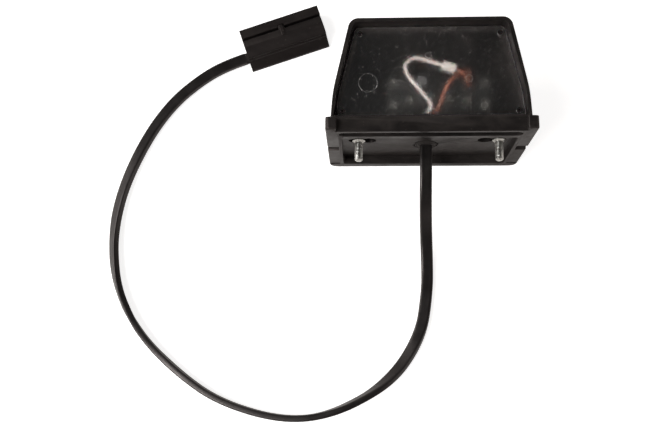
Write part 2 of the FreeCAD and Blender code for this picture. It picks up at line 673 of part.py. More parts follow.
def export(name, shape):
    shape.exportStep("parts/%s.step" % name)
    solids = len(shape.Solids)
    state = "ok" if shape.isValid() else "INVALID"
    bb = shape.optimalBoundingBox(False)
    print("%-20s solids %d volume %8.1f %s" % (name, solids, shape.Volume, state),
          "x %.1f..%.1f y %.1f..%.1f z %.1f..%.1f" % (
              bb.XMin, bb.XMax, bb.YMin, bb.YMax, bb.ZMin, bb.ZMax))


def main():
    export("housing", housing())
    export("lens", lens())
    export("lens_seal", lens_seal())
    export("lens_pins", lens_pins())
    for side, name in ((-1, "left"), (1, "right")):
        x = side * STUD_PITCH / 2 + STUD_SHIFT
        export("stud_" + name, stud(x))
        export("washer_" + name, retaining_washer(x))
    export("cable_grommet", cable_grommet())
    export("cable_tail", cable_tail())
    export("cable_clamp", cable_clamp())
    clamp_z = sum(CLAMP_Z) / 2
    clamp_spots = [V(x, CLAMP_BACK_Y, clamp_z) for x in (-CLAMP_BOSS_X, CLAMP_BOSS_X)]
    export("clamp_screws", screws(clamp_spots, 9.0, V(0, 1, 0)))
    export("flat_cable", flat_cable())
    routes = (("white_wire", WHITE_ROUTE), ("red_wire", RED_ROUTE), ("board_lead", LEAD_ROUTE))
    for name, route in routes:
        solid, path, radii = tube([V(*p) for p in route], WIRE_R)
        print(name, "length %.1f" % path.Length, "radii", [round(r, 1) for r in radii[1:-1]])
        export(name, solid)
    export("splice_sleeve", splice_sleeve())
    export("circuit_board", circuit_board())
    export("leds", leds())
    export("resistors", resistors())
    export("protection_diode", protection_diode())
    export("smoothing_capacitor", smoothing_capacitor())
    export("terminal_block", terminal_block())
    board_spots = [V(x, y, BOARD_Z + BOARD_THICK) for x, y in BOARD_HOLES]
    export("board_screws", screws(board_spots, 8.0, V(0, 0, 1)))
    export("vent_plug", vent_plug())
    export("connector_body", place_clip(connector_body()))
    export("cable_end", place_clip(cable_end()))
    export("connector_lid", place_clip(connector_lid()))
    export("lid_hinge_pin", place_clip(lid_hinge_pin()))
    for number, (x, y0, y1) in enumerate(BLADES, 1):
        export("contact_blade_%d" % number, place_clip(contact_blade(x, y0, y1)))


main()
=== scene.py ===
# Number plate lamp on its back, with its flat lead and clip-on cable connector,
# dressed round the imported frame. Metres, lens up, mounting rim towards -Y.
import bpy
import bmesh
import json
import math
from mathutils import Matrix, Vector


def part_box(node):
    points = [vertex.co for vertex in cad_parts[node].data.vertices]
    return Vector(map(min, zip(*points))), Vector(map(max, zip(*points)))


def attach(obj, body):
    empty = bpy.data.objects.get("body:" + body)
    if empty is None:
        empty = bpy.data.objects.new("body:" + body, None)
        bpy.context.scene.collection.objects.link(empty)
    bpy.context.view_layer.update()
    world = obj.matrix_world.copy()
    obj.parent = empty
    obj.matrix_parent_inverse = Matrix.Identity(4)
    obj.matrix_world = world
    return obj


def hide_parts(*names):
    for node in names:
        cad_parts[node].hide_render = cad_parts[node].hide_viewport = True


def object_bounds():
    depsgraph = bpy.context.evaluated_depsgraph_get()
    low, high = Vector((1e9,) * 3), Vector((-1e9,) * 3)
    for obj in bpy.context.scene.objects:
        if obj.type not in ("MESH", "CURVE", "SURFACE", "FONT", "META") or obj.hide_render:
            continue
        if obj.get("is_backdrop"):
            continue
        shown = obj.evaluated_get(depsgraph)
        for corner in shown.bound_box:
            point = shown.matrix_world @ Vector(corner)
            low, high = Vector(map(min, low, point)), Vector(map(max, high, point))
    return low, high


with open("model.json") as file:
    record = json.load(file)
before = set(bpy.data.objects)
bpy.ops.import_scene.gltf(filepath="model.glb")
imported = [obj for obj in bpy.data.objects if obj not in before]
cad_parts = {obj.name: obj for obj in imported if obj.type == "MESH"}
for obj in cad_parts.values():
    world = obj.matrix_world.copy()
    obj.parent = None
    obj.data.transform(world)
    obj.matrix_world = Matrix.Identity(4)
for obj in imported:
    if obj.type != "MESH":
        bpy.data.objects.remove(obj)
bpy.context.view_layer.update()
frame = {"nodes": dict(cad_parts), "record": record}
scene = bpy.context.scene
mm = 0.001

# Camera and lead come first

view = {
    "place": (-0.03968, -0.17763, 0.52686),
    "turn": (12.437, 2.573, 0.457),
    "lens": 46.07,
    "sensor": 36.0,
}


def addCamera():
    data = bpy.data.cameras.new("camera")
    data.lens = view["lens"]
    data.sensor_width = view["sensor"]
    data.sensor_fit = "HORIZONTAL"
    data.clip_start = 0.01
    camera = bpy.data.objects.new("camera", data)
    camera.location = view["place"]
    camera.rotation_euler = [math.radians(a) for a in view["turn"]]
    scene.collection.objects.link(camera)
    scene.camera = camera


def addObject(name, data):
    piece = bpy.data.objects.new(name, data)
    scene.collection.objects.link(piece)
    return piece


def plainMesh(piece):
    # what the modifiers make, as an ordinary mesh
    graph = bpy.context.evaluated_depsgraph_get()
    mesh = bpy.data.meshes.new_from_object(piece.evaluated_get(graph), depsgraph=graph)
    piece.modifiers.clear()
    piece.data = mesh
    mesh.name = piece.name
    return piece


def routeCurve(name, route, steps):
    curve = bpy.data.curves.new(name, "CURVE")
    curve.dimensions = "3D"
    spline = curve.splines.new("NURBS")
    spline.points.add(len(route) - 1)
    for point, place in zip(spline.points, route):
        point.co = (*place, 1.0)
    spline.order_u = 3
    spline.use_endpoint_u = True
    spline.resolution_u = steps
    return addObject(name, curve)


def readLine(curveObject):
    # the points that the spline itself passes through
    bpy.context.view_layer.update()
    graph = bpy.context.evaluated_depsgraph_get()
    mesh = bpy.data.meshes.new_from_object(curveObject.evaluated_get(graph), depsgraph=graph)
    points = [v.co.copy() for v in mesh.vertices]
    bpy.data.meshes.remove(mesh)
    return points


def alongLine(points):
    reached = [0.0]
    for a, b in zip(points, points[1:]):
        reached.append(reached[-1] + (b - a).length)
    return reached


def smoothStops(stops, where):
    # eased value between the stops, each a pair of place and value
    for (a, low), (b, high) in zip(stops, stops[1:]):
        if where <= b:
            t = max(0.0, min(1.0, (where - a) / (b - a)))
            return low + (high - low) * t * t * (3 - 2 * t)
    return stops[-1][1]


lead = {
    "width": 7.4 * mm,
    "thick": 4.2 * mm,
    "waist": 0.12 * mm,          # shallow valley between the two cores
    "around": 40,
    "steps": 14,
    "squareness": 0.38,          # 1 is an ellipse, towards 0 a rectangle
    "waistShare": 0.28,          # half width of the valley against half the lead's
    # roll of the wide face, in degrees, at shares of the length
    "rolls": [(0.0, 0), (0.10, 6), (0.20, -8), (0.25, -34), (0.32, -74), (0.38, -90), (0.47, -88),
              (0.55, -86), (0.60, -94), (0.64, -110), (0.70, -130), (0.76, -147), (0.84, -164),
              (0.90, -172), (1.0, -180)],
    "route": [
        (0.0, -0.0247, 0.0318), (0.0, -0.036, 0.0318), (-0.0002, -0.055, 0.0265),
        (0.0007, -0.074, 0.011), (0.0017, -0.094, 0.0036), (0.0014, -0.112, 0.0032),
        (-0.0032, -0.1404, 0.0041), (-0.023, -0.1691, 0.0041), (-0.0586, -0.1884, 0.0041),
        (-0.089, -0.1916, 0.0041), (-0.127, -0.1813, 0.0041), (-0.1524, -0.1652, 0.0041),
        (-0.1797, -0.1405, 0.0041), (-0.1964, -0.1114, 0.0041), (-0.2016, -0.0786, 0.004),
        (-0.1976, -0.0465, 0.0037), (-0.1838, -0.0117, 0.0036), (-0.167, 0.0141, 0.0038),
        (-0.148, 0.0309, 0.0042), (-0.1309, 0.04107, 0.00455), (-0.11762, 0.04563, 0.00455),
    ],
}


def leadSection():
    # rounded flat section with a faint valley along each wide face
    half, thick, power = lead["width"] / 2, lead["thick"] / 2, lead["squareness"]
    ring = []
    for i in range(lead["around"]):
        a = 2 * math.pi * i / lead["around"]
        x = half * math.copysign(abs(math.cos(a)) ** power, math.cos(a))
        y = thick * math.copysign(abs(math.sin(a)) ** power, math.sin(a))
        dip = lead["waist"] * math.exp(-(x / (lead["waistShare"] * half)) ** 2)
        ring.append((x, y - math.copysign(dip, y) if abs(y) > 0.5 * thick else y))
    return ring


def addLead():
    curveObject = routeCurve("leadLine", lead["route"], lead["steps"])
    line = readLine(curveObject)
    bpy.data.objects.remove(curveObject)
    reached = alongLine(line)
    ring = leadSection()
    count = len(ring)
    shape = bmesh.new()
    uvLayer = shape.loops.layers.uv.new("alongLead")
    rows = []
    for i, place in enumerate(line):
        ahead = (line[min(i + 1, len(line) - 1)] - line[max(i - 1, 0)]).normalized()
        side = ahead.cross(Vector((0, 0, 1))).normalized()
        up = side.cross(ahead)
        turn = math.radians(smoothStops(lead["rolls"], reached[i] / reached[-1]))
        wide = side * math.cos(turn) + up * math.sin(turn)
        thin = up * math.cos(turn) - side * math.sin(turn)
        rows.append([shape.verts.new(place + wide * x + thin * y) for x, y in ring])
    for i in range(len(rows) - 1):
        for k in range(count):
            j = (k + 1) % count
            face = shape.faces.new((rows[i][k], rows[i][j], rows[i + 1][j], rows[i + 1][k]))
            corners = ((k, i), (k + 1, i), (k + 1, i + 1), (k, i + 1))
            for loop, (a, b) in zip(face.loops, corners):
                loop[uvLayer].uv = (a / count, reached[b])
    shape.faces.new(rows[0])
    shape.faces.new(list(reversed(rows[-1])))
    bmesh.ops.recalc_face_normals(shape, faces=shape.faces)
    mesh = bpy.data.meshes.new("flatLead")
    shape.to_mesh(mesh)
    shape.free()
    mesh.shade_smooth()
    mesh.set_sharp_from_angle(angle=math.radians(50))
    print("lead", round(reached[-1], 4), "m along its spline")
    return addObject("flatLead", mesh), line


addCamera()
leadPiece, leadLine = addLead()

# Node helpers


def put(tree, kind, inputs=None, **settings):
    node = tree.nodes.new(kind)
    for key, value in settings.items():
        setattr(node, key, value)
    for key, value in (inputs or {}).items():
        if isinstance(value, bpy.types.NodeSocket):
            tree.links.new(value, node.inputs[key])
        else:
            node.inputs[key].default_value = value
    return node


def maths(tree, operation, a, b=0.0):
    return put(tree, "ShaderNodeMath", {0: a, 1: b}, operation=operation).outputs[0]


def spread(tree, value, low, high, toLow=0.0, toHigh=1.0):
    inputs = {"Value": value, "From Min": low, "From Max": high, "To Min": toLow, "To Max": toHigh}
    return put(tree, "ShaderNodeMapRange", inputs, clamp=True).outputs[0]


def tint(tree, mask, low, high):
    node = put(tree, "ShaderNodeMix", {0: mask}, data_type="RGBA", clamp_factor=True)
    for index, colour in ((6, low), (7, high)):
        if isinstance(colour, bpy.types.NodeSocket):
            tree.links.new(colour, node.inputs[index])
        else:
            node.inputs[index].default_value = (*colour, 1.0)
    return node.outputs[2]


def newGroup(name, inputs, outputs):
    group = bpy.data.node_groups.new(name, "ShaderNodeTree")
    for label, value in inputs:
        kind = "NodeSocketVector" if value is None else "NodeSocketFloat"
        socket = group.interface.new_socket(label, in_out="INPUT", socket_type=kind)
        if value is not None:
            socket.default_value = value
    for label in outputs:
        group.interface.new_socket(label, in_out="OUTPUT", socket_type="NodeSocketFloat")
    return group, put(group, "NodeGroupInput").outputs, put(group, "NodeGroupOutput").inputs


def makeGrainGroup():
    # satin texture of a moulding tool, and the cloudy tone of its skin
    group, given, made = newGroup(
        "mouldGrain", [("Place", None), ("Grain Scale", 2200.0), ("Cloud Scale", 60.0)],
        ["Height", "Cloud"])
    grain = put(group, "ShaderNodeTexNoise",
                {"Vector": given["Place"], "Scale": given["Grain Scale"], "Detail": 2.0})
    ripple = put(group, "ShaderNodeTexNoise",
                 {"Vector": given["Place"], "Scale": 260.0, "Detail": 2.0})
    height = maths(group, "ADD", grain.outputs[0], maths(group, "MULTIPLY", ripple.outputs[0], 0.8))
    group.links.new(height, made["Height"])
    cloud = put(group, "ShaderNodeTexNoise",
                {"Vector": given["Place"], "Scale": given["Cloud Scale"], "Detail": 5.0,
                 "Roughness": 0.62, "Distortion": 0.5})
    group.links.new(spread(group, cloud.outputs[0], 0.38, 0.66), made["Cloud"])
    return group


def makeWearAndHighlightGroup():
    # mask of edges, paler where the skin is rubbed and catches dust, and also a painted highlight
    # along every edge
    group, given, made = newGroup(
        "edgeWearAndHighlight", [("Place", None), ("Width", 0.0005), ("Break Up", 300.0)], ["Edge"])
    rounded = put(group, "ShaderNodeBevel", {"Radius": given["Width"]}, samples=6)
    flat = put(group, "ShaderNodeNewGeometry")
    dot = put(group, "ShaderNodeVectorMath",
              {0: rounded.outputs[0], 1: flat.outputs["Normal"]}, operation="DOT_PRODUCT")
    edge = spread(group, dot.outputs["Value"], 0.995, 0.86)
    broken = put(group, "ShaderNodeTexNoise",
                 {"Vector": given["Place"], "Scale": given["Break Up"], "Detail": 3.0})
    broken = spread(group, broken.outputs[0], 0.35, 0.6, 0.35, 1.0)
    group.links.new(maths(group, "MULTIPLY", edge, broken), made["Edge"])
    return group


def makeDustGroup():
    # a thin smeared film, and single specks
    group, given, made = newGroup(
        "dust", [("Place", None), ("Speck Scale", 520.0), ("Speck Share", 0.12)],
        ["Film", "Specks"])
    smear = put(group, "ShaderNodeMapping", {"Vector": given["Place"], "Scale": (38.0, 90.0, 60.0),
                                             "Rotation": (0.0, 0.0, 0.5)})
    film = put(group, "ShaderNodeTexNoise",
               {"Vector": smear.outputs[0], "Scale": 1.0, "Detail": 6.0, "Roughness": 0.7,
                "Distortion": 0.8})
    group.links.new(spread(group, film.outputs[0], 0.45, 0.75), made["Film"])
    cells = put(group, "ShaderNodeTexVoronoi",
                {"Vector": given["Place"], "Scale": given["Speck Scale"]})
    pick = put(group, "ShaderNodeSeparateColor", {0: cells.outputs["Color"]})
    chosen = maths(group, "LESS_THAN", pick.outputs[0], given["Speck Share"])
    size = spread(group, pick.outputs[1], 0.0, 1.0, 0.08, 0.3)
    near = maths(group, "LESS_THAN", cells.outputs["Distance"], size)
    group.links.new(maths(group, "MULTIPLY", chosen, near), made["Specks"])
    return group


grainGroup = makeGrainGroup()
wearAndHighlightGroup = makeWearAndHighlightGroup()
dustGroup = makeDustGroup()
print("shader groups made")


def startMaterial(name):
    material = bpy.data.materials.new(name)
    material.use_nodes = True
    tree = material.node_tree
    tree.nodes.clear()
    output = put(tree, "ShaderNodeOutputMaterial")
    shader = put(tree, "ShaderNodeBsdfPrincipled")
    tree.links.new(shader.outputs[0], output.inputs["Surface"])
    place = put(tree, "ShaderNodeTexCoord").outputs["Object"]
    return material, tree, shader, place


def groupNode(tree, group, inputs):
    node = tree.nodes.new("ShaderNodeGroup")
    node.node_tree = group
    for key, value in inputs.items():
        if isinstance(value, bpy.types.NodeSocket):
            tree.links.new(value, node.inputs[key])
        else:
            node.inputs[key].default_value = value
    return node.outputs


def bumpUp(tree, shader, height, depth, strength=1.0):
    bump = put(tree, "ShaderNodeBump", {"Height": height, "Distance": depth, "Strength": strength})
    tree.links.new(bump.outputs[0], shader.inputs["Normal"])


def mouldedPlastic(name, look):
    material, tree, shader, place = startMaterial(name)
    grain = groupNode(tree, grainGroup, {"Place": place, "Grain Scale": look["grain"],
                                         "Cloud Scale": look["cloud"]})
    wearAndHighlight = groupNode(tree, wearAndHighlightGroup, {"Place": place, "Width": look["edgeWidth"]})
    dust = groupNode(tree, dustGroup, {"Place": place, "Speck Scale": look["speckScale"],
                                       "Speck Share": look["speckShare"]})
    body = tint(tree, grain["Cloud"], look["dark"], look["light"])
    # pale edges: partly rubbed wear and dust, partly a painted highlight along every edge
    edge = maths(tree, "MULTIPLY", wearAndHighlight["Edge"], look["edgeShare"])
    body = tint(tree, edge, body, look["edge"])
    film = maths(tree, "MULTIPLY", dust["Film"], look["film"])
    specks = maths(tree, "MULTIPLY", dust["Specks"], look["specks"])
    body = tint(tree, maths(tree, "MAXIMUM", film, specks), body, look["dust"])
    tree.links.new(body, shader.inputs["Base Color"])
    rough = spread(tree, grain["Cloud"], 0.0, 1.0, look["rough"][0], look["rough"][1])
    rough = maths(tree, "ADD", rough, maths(tree, "MULTIPLY", film, 0.5))
    tree.links.new(rough, shader.inputs["Roughness"])
    shader.inputs["Specular IOR Level"].default_value = look["shine"]
    shader.inputs["Specular Tint"].default_value = (*look["gleam"], 1.0)
    bumpUp(tree, shader, grain["Height"], look["depth"])
    return material


housingLook = {
    "dark": (0.0075, 0.0068, 0.0066), "light": (0.0125, 0.0112, 0.0106),
    "edge": (0.035, 0.029, 0.026), "dust": (0.075, 0.063, 0.056),
    "grain": 2200.0, "cloud": 55.0, "depth": 0.00002, "rough": (0.36, 0.5),
    "shine": 0.3, "gleam": (1.0, 0.86, 0.82),
    "edgeWidth": 0.0006, "edgeShare": 0.35, "film": 0.2, "specks": 0.35,
    "speckScale": 620.0, "speckShare": 0.1,
}
connectorLook = dict(
    housingLook, dark=(0.0055, 0.0046, 0.0045), light=(0.0085, 0.0071, 0.0068),
    edge=(0.05, 0.044, 0.04), rough=(0.5, 0.62), shine=0.25, cloud=90.0, film=0.1)
rubberLook = dict(
    housingLook, dark=(0.009, 0.0085, 0.0085), light=(0.014, 0.013, 0.0125),
    rough=(0.6, 0.75), shine=0.3, film=0.25, edgeShare=0.3)

blackPlastic = mouldedPlastic("blackPlastic", housingLook)
connectorPlastic = mouldedPlastic("connectorPlastic", connectorLook)
blackRubber = mouldedPlastic("blackRubber", rubberLook)

leadLook = {
    "dark": (0.0055, 0.005, 0.005), "light": (0.011, 0.0098, 0.0096),
    "streaks": 46.0, "rough": (0.28, 0.4), "shine": 0.5, "gleam": (1.0, 0.9, 0.87), "depth": 0.00003,
}


def leadSheath():
    # extruded sheath: faint lines along its length, read from its own UV map
    material, tree, shader, place = startMaterial("leadSheath")
    along = put(tree, "ShaderNodeUVMap", uv_map="alongLead")
    lines = put(tree, "ShaderNodeMapping", {"Vector": along.outputs[0],
                                            "Scale": (leadLook["streaks"], 14.0, 1.0)})
    streak = put(tree, "ShaderNodeTexNoise", {"Vector": lines.outputs[0], "Scale": 1.0, "Detail": 3.0})
    scuff = put(tree, "ShaderNodeTexNoise", {"Vector": place, "Scale": 90.0, "Detail": 5.0,
                                             "Roughness": 0.65})
    mask = maths(tree, "MULTIPLY", spread(tree, streak.outputs[0], 0.35, 0.7),
                 spread(tree, scuff.outputs[0], 0.35, 0.7, 0.3, 1.0))
    tree.links.new(tint(tree, mask, leadLook["dark"], leadLook["light"]), shader.inputs["Base Color"])
    tree.links.new(spread(tree, scuff.outputs[0], 0.35, 0.7, *leadLook["rough"]),
                   shader.inputs["Roughness"])
    shader.inputs["Specular IOR Level"].default_value = leadLook["shine"]
    shader.inputs["Specular Tint"].default_value = (*leadLook["gleam"], 1.0)
    bumpUp(tree, shader, streak.outputs[0], leadLook["depth"])
    return material


def insulation(name, dark, light, rough):
    # thin wire cover with a soft waxy tone
    material, tree, shader, place = startMaterial(name)
    tone = put(tree, "ShaderNodeTexNoise", {"Vector": place, "Scale": 240.0, "Detail": 4.0})
    mask = spread(tree, tone.outputs[0], 0.35, 0.68)
    tree.links.new(tint(tree, mask, dark, light), shader.inputs["Base Color"])
    tree.links.new(spread(tree, tone.outputs[0], 0.3, 0.7, rough, rough + 0.15),
                   shader.inputs["Roughness"])
    shader.inputs["Subsurface Weight"].default_value = 0.15
    shader.inputs["Subsurface Scale"].default_value = 0.0008
    bumpUp(tree, shader, tone.outputs[0], 0.00003)
    return material


def metal(name, dark, light, rough, grainScale, stretch):
    # plated or rolled metal, its finish drawn out along one direction
    material, tree, shader, place = startMaterial(name)
    drawn = put(tree, "ShaderNodeMapping", {"Vector": place, "Scale": stretch})
    finish = put(tree, "ShaderNodeTexNoise", {"Vector": drawn.outputs[0], "Scale": grainScale,
                                              "Detail": 4.0, "Roughness": 0.6})
    patches = put(tree, "ShaderNodeTexVoronoi", {"Vector": place, "Scale": grainScale * 0.6})
    tone = put(tree, "ShaderNodeSeparateColor", {0: patches.outputs["Color"]})
    mask = maths(tree, "MULTIPLY", spread(tree, finish.outputs[0], 0.3, 0.7),
                 spread(tree, tone.outputs[0], 0.0, 1.0, 0.55, 1.0))
    tree.links.new(tint(tree, mask, dark, light), shader.inputs["Base Color"])
    tree.links.new(spread(tree, finish.outputs[0], 0.3, 0.7, rough, rough + 0.16),
                   shader.inputs["Roughness"])
    shader.inputs["Metallic"].default_value = 1.0
    bumpUp(tree, shader, finish.outputs[0], 0.00001)
    return material


# upper face of the lens: its tilt, and its height where the rim starts to climb
lensFace = {"tilt": math.radians(9.0), "startY": -19.2 * mm, "startZ": 68.5 * mm, "thick": 2.8 * mm}

lensLook = {
    "clear": (1.0, 0.985, 0.975), "shade": (0.96, 0.945, 0.935), "shadow": (1.0, 0.99, 0.98),
    "rough": (0.52, 0.62), "inside": 0.06, "ior": 1.3,
    "dust": (0.4, 0.37, 0.35), "film": 0.0, "specks": 0.4, "depth": 0.00008,
}


def lensPlastic():
    # see-through plastic, clear inside and with a frosted, dusty skin outside
    material, tree, shader, place = startMaterial("lensPlastic")
    grain = groupNode(tree, grainGroup, {"Place": place, "Grain Scale": 1500.0, "Cloud Scale": 42.0})
    dust = groupNode(tree, dustGroup, {"Place": place, "Speck Scale": 950.0, "Speck Share": 0.3})
    tree.links.new(tint(tree, grain["Cloud"], lensLook["shade"], lensLook["clear"]),
                   shader.inputs["Base Color"])
    upright = (0.0, -math.sin(lensFace["tilt"]), math.cos(lensFace["tilt"]))
    above = put(tree, "ShaderNodeVectorMath", {0: place, 1: upright}, operation="DOT_PRODUCT")
    top = upright[1] * lensFace["startY"] + upright[2] * lensFace["startZ"]
    middle = top - lensFace["thick"] / 2
    skin = spread(tree, above.outputs["Value"], middle - 0.3 * mm, middle + 0.3 * mm)
    frost = spread(tree, grain["Cloud"], 0.0, 1.0, *lensLook["rough"])
    rough = maths(tree, "MAXIMUM", maths(tree, "MULTIPLY", frost, skin), lensLook["inside"])
    tree.links.new(rough, shader.inputs["Roughness"])
    shader.inputs["IOR"].default_value = lensLook["ior"]
    shader.inputs["Transmission Weight"].default_value = 1.0
    bumpUp(tree, shader, grain["Height"], lensLook["depth"], skin)
    film = put(tree, "ShaderNodeBsdfPrincipled", {"Base Color": (*lensLook["dust"], 1.0),
                                                  "Roughness": 0.85})
    mask = maths(tree, "MAXIMUM", maths(tree, "MULTIPLY", dust["Film"], lensLook["film"]),
                 maths(tree, "MULTIPLY", dust["Specks"], lensLook["specks"]))
    mask = maths(tree, "MULTIPLY", mask, skin)
    dusty = put(tree, "ShaderNodeMixShader", {0: mask, 1: shader.outputs[0], 2: film.outputs[0]})
    lamps = put(tree, "ShaderNodeLightPath")
    open_ = put(tree, "ShaderNodeBsdfTransparent", {0: (*lensLook["shadow"], 1.0)})
    last = put(tree, "ShaderNodeMixShader", {0: lamps.outputs["Is Shadow Ray"],
                                             1: dusty.outputs[0], 2: open_.outputs[0]})
    output = [n for n in tree.nodes if n.type == "OUTPUT_MATERIAL"][0]
    tree.links.new(last.outputs[0], output.inputs["Surface"])
    return material


def boardLaminate():
    # green solder resist over glass cloth
    material, tree, shader, place = startMaterial("boardLaminate")
    weave = put(tree, "ShaderNodeTexWave", {"Vector": place, "Scale": 420.0, "Distortion": 1.0})
    tone = put(tree, "ShaderNodeTexNoise", {"Vector": place, "Scale": 120.0, "Detail": 4.0})
    mask = maths(tree, "MULTIPLY", weave.outputs[1], spread(tree, tone.outputs[0], 0.3, 0.7))
    tree.links.new(tint(tree, mask, (0.004, 0.0042, 0.004), (0.008, 0.0085, 0.0078)),
                   shader.inputs["Base Color"])
    tree.links.new(spread(tree, tone.outputs[0], 0.3, 0.7, 0.3, 0.45), shader.inputs["Roughness"])
    bumpUp(tree, shader, weave.outputs[1], 0.00001)
    return material


leadMaterial = leadSheath()
whiteCover = insulation("whiteCover", (0.50, 0.445, 0.425), (0.60, 0.545, 0.52), 0.35)
redCover = insulation("redCover", (0.19, 0.06, 0.034), (0.27, 0.092, 0.052), 0.4)
whiteNylon = insulation("whiteNylon", (0.40, 0.37, 0.35), (0.48, 0.445, 0.42), 0.3)
ledEpoxy = insulation("ledEpoxy", (0.12, 0.115, 0.10), (0.19, 0.18, 0.16), 0.35)
chipCeramic = insulation("chipCeramic", (0.030, 0.030, 0.032), (0.055, 0.054, 0.055), 0.35)
zincPlate = metal("zincPlate", (0.46, 0.455, 0.43), (0.68, 0.675, 0.64), 0.22, 900.0, (1.0, 0.25, 1.0))
brass = metal("brass", (0.55, 0.38, 0.14), (0.80, 0.58, 0.26), 0.22, 700.0, (1.0, 1.0, 0.3))
canMetal = metal("canMetal", (0.42, 0.42, 0.43), (0.62, 0.62, 0.63), 0.28, 500.0, (1.0, 1.0, 0.2))
lensMaterial = lensPlastic()
laminate = boardLaminate()
print("materials made")

# Mouldings: each keeps the frame's shape and gains the small rounds of a tool


def mergedCopy(node, name, flatAngle):
    shape = bmesh.new()
    shape.from_mesh(frame["nodes"][node].data)
    bmesh.ops.remove_doubles(shape, verts=shape.verts, dist=0.002 * mm)
    bmesh.ops.dissolve_limit(shape, angle_limit=math.radians(flatAngle), verts=shape.verts,
                             edges=shape.edges)
    mesh = bpy.data.meshes.new(name)
    shape.to_mesh(mesh)
    shape.free()
    return addObject(name, mesh)


def roundedEdges(piece, width, angle=38.0, segments=2):
    bevel = piece.modifiers.new("edges", "BEVEL")
    bevel.width = width
    bevel.segments = segments
    bevel.limit_method = "ANGLE"
    bevel.angle_limit = math.radians(angle)
    bevel.use_clamp_overlap = True
    bevel.miter_outer = "MITER_ARC"
    bevel.harden_normals = True
    piece.data.shade_smooth()
    piece.data.set_sharp_from_angle(angle=math.radians(angle))
    return plainMesh(piece)


def dress(piece, body, material, replaced=()):
    piece.data.materials.clear()
    piece.data.materials.append(material)
    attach(piece, body)
    if replaced:
        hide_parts(*replaced)
    return piece


moulding = {"edge": 0.3 * mm, "fineEdge": 0.25 * mm, "flat": 0.3}
housingPiece = roundedEdges(mergedCopy("housing", "lampHousing", moulding["flat"]), moulding["edge"])
dress(housingPiece, "root", blackPlastic, ["housing"])
print("housing", len(housingPiece.data.polygons), "faces")

# Wires inside, on smooth lines

wires = {
    "radius": 0.9 * mm,
    "whiteWire": [(-0.0019, -0.013, 0.054), (-0.0016, -0.013, 0.0576), (0.0028, -0.0096, 0.0618),
                  (-0.0052, -0.0004, 0.0636), (-0.0126, 0.008, 0.0648), (-0.0146, 0.015, 0.0656),
                  (-0.0086, 0.0196, 0.066), (0.0002, 0.01704, 0.0658), (0.008, 0.0142, 0.0658)],
    "redWire": [(0.0019, -0.013, 0.054), (0.0026, -0.013, 0.057), (0.0064, -0.009, 0.0604),
                (0.0094, 0.0008, 0.0622), (0.0146, 0.0082, 0.062), (0.0204, 0.0126, 0.0606),
                (0.0246, 0.0136, 0.058), (0.0244, 0.0096, 0.057), (0.0244, 0.0096, 0.0542)],
    "boardLead": [(0.01599, 0.01129, 0.0658), (0.0186, 0.01034, 0.0658), (0.0216, 0.009, 0.0626),
                  (0.0244, 0.0062, 0.0586), (0.0244, 0.0062, 0.0542)],
}


def addWire(name, route, radius):
    curveObject = routeCurve(name, route, 12)
    curveObject.data.bevel_depth = radius
    curveObject.data.bevel_resolution = 6
    curveObject.data.use_fill_caps = True
    bpy.context.view_layer.update()
    graph = bpy.context.evaluated_depsgraph_get()
    mesh = bpy.data.meshes.new_from_object(curveObject.evaluated_get(graph), depsgraph=graph)
    bpy.data.objects.remove(curveObject)
    mesh.shade_smooth()
    return addObject(name, mesh)


for name, node, slotName, material in (
        ("whiteWire", "white_wire", "white_insulation", whiteCover),
        ("redWire", "red_wire", "red_brown_insulation", redCover),
        ("boardLead", "board_lead", "red_brown_insulation", redCover)):
    wirePiece = addWire(name, wires[name], wires["radius"])
    dress(wirePiece, "root", material, [node])
print("wires laid")

# Threaded studs

studs = {"shank": 2.5 * mm, "core": 2.38 * mm, "pitch": 0.7 * mm, "crest": 0.17 * mm,
         "point": 0.9 * mm, "pointRadius": 1.5 * mm, "flats": 7.4 * mm, "head": 2.6 * mm,
         "turnSteps": 26}


def newGeometryTree(name, sizes):
    tree = bpy.data.node_groups.new(name, "GeometryNodeTree")
    tree.interface.new_socket("Geometry", in_out="OUTPUT", socket_type="NodeSocketGeometry")
    for label, value in sizes:
        vector = isinstance(value, tuple)
        kind = "NodeSocketVector" if vector else "NodeSocketFloat"
        tree.interface.new_socket(label, in_out="INPUT", socket_type=kind)
    return tree, put(tree, "NodeGroupInput").outputs, put(tree, "NodeGroupOutput").inputs


def runTree(name, tree, sizes, material):
    # one piece made by a tree, its sizes given by socket identifier
    piece = addObject(name, bpy.data.meshes.new(name))
    modifier = piece.modifiers.new("shape", "NODES")
    modifier.node_group = tree
    wanted = dict(sizes)
    for item in tree.interface.items_tree:
        if item.in_out == "INPUT" and item.name in wanted:
            modifier[item.identifier] = wanted[item.name]
    piece.data.materials.append(material)
    return plainMesh(piece)


def finishTree(tree, joined, material, place, made):
    real = put(tree, "GeometryNodeRealizeInstances", {0: joined})
    moved = put(tree, "GeometryNodeTransform", {0: real.outputs[0], "Translation": place})
    skin = put(tree, "GeometryNodeSetMaterial", {0: moved.outputs[0], "Material": material})
    tree.links.new(skin.outputs[0], made["Geometry"])


def join(tree, *parts):
    node = tree.nodes.new("GeometryNodeJoinGeometry")
    for part in reversed(parts):
        tree.links.new(part, node.inputs[0])
    return node.outputs[0]


def lifted(tree, part, height):
    offset = put(tree, "ShaderNodeCombineXYZ", {2: height})
    return put(tree, "GeometryNodeTransform", {0: part.outputs[0], "Translation": offset.outputs[0]})


